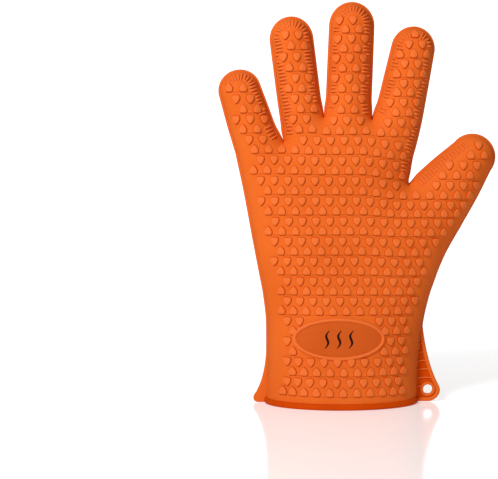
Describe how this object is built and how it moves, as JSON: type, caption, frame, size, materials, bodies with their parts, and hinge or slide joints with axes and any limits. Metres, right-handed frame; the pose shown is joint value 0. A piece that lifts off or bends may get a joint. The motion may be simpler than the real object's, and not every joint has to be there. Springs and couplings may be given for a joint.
{
  "type": "heat resistant glove",
  "caption": "Moulded silicone grilling glove, open hand, with a studded skin, a round seam flange, a wide cuff with an oval panel and a hanging tab with a hole.",
  "frame": {"origin": "centre of the cuff opening, level with the foot of the hem that the glove stands on", "axes": "+Z from the cuff to the fingertips, -Y out of the palm side, +X towards the thumb"},
  "size_m": [0.1884, 0.063, 0.2742],
  "materials": {
    "silicone": "satin moulded orange silicone",
    "mark_ink": "matt black print"
  },
  "bodies": {
    "palm": {"cuff_front_shell": "silicone", "cuff_back_shell": "silicone", "palm_front_shell": "silicone", "palm_back_shell": "silicone", "knuckle_front_shell": "silicone", "knuckle_back_shell": "silicone", "cuff_hem": "silicone", "cuff_corner_ear": "silicone", "hang_tab": "silicone", "hang_tab_ribs": "silicone", "seam_flange_sides": "silicone", "seam_flange_webs": "silicone", "oval_ring_front": "silicone", "oval_panel_front": "silicone", "printed_mark": "mark_ink", "oval_ring_back": "silicone", "oval_panel_back": "silicone"},
    "index_base_sleeve": {"index_base_bend": "silicone", "index_base": "silicone"},
    "index_middle_sleeve": {"index_middle_bend": "silicone", "index_middle": "silicone"},
    "index_tip_sleeve": {"index_tip_bend": "silicone", "index_tip": "silicone"},
    "middle_base_sleeve": {"middle_base_bend": "silicone", "middle_base": "silicone"},
    "middle_middle_sleeve": {"middle_middle_bend": "silicone", "middle_middle": "silicone"},
    "middle_tip_sleeve": {"middle_tip_bend": "silicone", "middle_tip": "silicone"},
    "ring_base_sleeve": {"ring_base_bend": "silicone", "ring_base": "silicone"},
    "ring_middle_sleeve": {"ring_middle_bend": "silicone", "ring_middle": "silicone"},
    "ring_tip_sleeve": {"ring_tip_bend": "silicone", "ring_tip": "silicone"},
    "little_base_sleeve": {"little_base_bend": "silicone", "little_base": "silicone"},
    "little_middle_sleeve": {"little_middle_bend": "silicone", "little_middle": "silicone"},
    "little_tip_sleeve": {"little_tip_bend": "silicone", "little_tip": "silicone"},
    "thumb_base_sleeve": {"thumb_base_bend": "silicone", "thumb_base": "silicone"},
    "thumb_tip_sleeve": {"thumb_tip_bend": "silicone", "thumb_tip": "silicone"}
  },
  "joints": [
    {"name": "index_base_fold", "type": "hinge", "parent": "palm", "child": "index_base_sleeve", "pos_m": [0.04157, -0.002, 0.2038], "axis": [0.9781, 0, -0.2079], "range_deg": [-5, 60], "stiffness_Nm_per_rad": 0.06, "deforming": ["index_base_bend"]},
    {"name": "index_middle_fold", "type": "hinge", "parent": "index_base_sleeve", "child": "index_middle_sleeve", "pos_m": [0.04552, -0.002, 0.22239], "axis": [0.9781, 0, -0.2079], "range_deg": [0, 70], "stiffness_Nm_per_rad": 0.04, "deforming": ["index_middle_bend"]},
    {"name": "index_tip_fold", "type": "hinge", "parent": "index_middle_sleeve", "child": "index_tip_sleeve", "pos_m": [0.04906, -0.002, 0.23902], "axis": [0.9781, 0, -0.2079], "range_deg": [0, 40], "stiffness_Nm_per_rad": 0.02, "deforming": ["index_tip_bend"]},
    {"name": "middle_base_fold", "type": "hinge", "parent": "palm", "child": "middle_base_sleeve", "pos_m": [0.00591, -0.002, 0.20649], "axis": [0.999, 0, -0.0436], "range_deg": [-5, 60], "stiffness_Nm_per_rad": 0.06, "deforming": ["middle_base_bend"]},
    {"name": "middle_middle_fold", "type": "hinge", "parent": "middle_base_sleeve", "child": "middle_middle_sleeve", "pos_m": [0.00694, -0.002, 0.22997], "axis": [0.999, 0, -0.0436], "range_deg": [0, 70], "stiffness_Nm_per_rad": 0.04, "deforming": ["middle_middle_bend"]},
    {"name": "middle_tip_fold", "type": "hinge", "parent": "middle_middle_sleeve", "child": "middle_tip_sleeve", "pos_m": [0.00786, -0.002, 0.25095], "axis": [0.999, 0, -0.0436], "range_deg": [0, 40], "stiffness_Nm_per_rad": 0.02, "deforming": ["middle_tip_bend"]},
    {"name": "ring_base_fold", "type": "hinge", "parent": "palm", "child": "ring_base_sleeve", "pos_m": [-0.0275, -0.002, 0.20593], "axis": [0.9925, 0, 0.1219], "range_deg": [-5, 60], "stiffness_Nm_per_rad": 0.06, "deforming": ["ring_base_bend"]},
    {"name": "ring_middle_fold", "type": "hinge", "parent": "ring_base_sleeve", "child": "ring_middle_sleeve", "pos_m": [-0.02993, -0.002, 0.22578], "axis": [0.9925, 0, 0.1219], "range_deg": [0, 70], "stiffness_Nm_per_rad": 0.04, "deforming": ["ring_middle_bend"]},
    {"name": "ring_tip_fold", "type": "hinge", "parent": "ring_middle_sleeve", "child": "ring_tip_sleeve", "pos_m": [-0.03225, -0.002, 0.24464], "axis": [0.9925, 0, 0.1219], "range_deg": [0, 40], "stiffness_Nm_per_rad": 0.02, "deforming": ["ring_tip_bend"]},
    {"name": "little_base_fold", "type": "hinge", "parent": "palm", "child": "little_base_sleeve", "pos_m": [-0.05921, -0.002, 0.18613], "axis": [0.9537, 0, 0.3007], "range_deg": [-5, 60], "stiffness_Nm_per_rad": 0.06, "deforming": ["little_base_bend"]},
    {"name": "little_middle_fold", "type": "hinge", "parent": "little_base_sleeve", "child": "little_middle_sleeve", "pos_m": [-0.06402, -0.002, 0.20139], "axis": [0.9537, 0, 0.3007], "range_deg": [0, 62], "stiffness_Nm_per_rad": 0.04, "deforming": ["little_middle_bend"]},
    {"name": "little_tip_fold", "type": "hinge", "parent": "little_middle_sleeve", "child": "little_tip_sleeve", "pos_m": [-0.06823, -0.002, 0.21474], "axis": [0.9537, 0, 0.3007], "range_deg": [0, 40], "stiffness_Nm_per_rad": 0.02, "deforming": ["little_tip_bend"]},
    {"name": "thumb_base_fold", "type": "hinge", "parent": "palm", "child": "thumb_base_sleeve", "pos_m": [0.07083, -0.002, 0.14462], "axis": [0.7804, 0, -0.6252], "range_deg": [-5, 35], "stiffness_Nm_per_rad": 0.084, "deforming": ["thumb_base_bend"]},
    {"name": "thumb_tip_fold", "type": "hinge", "parent": "thumb_base_sleeve", "child": "thumb_tip_sleeve", "pos_m": [0.08458, -0.002, 0.16179], "axis": [0.7804, 0, -0.6252], "range_deg": [0, 50], "stiffness_Nm_per_rad": 0.028, "deforming": ["thumb_tip_bend"]}
  ]
}
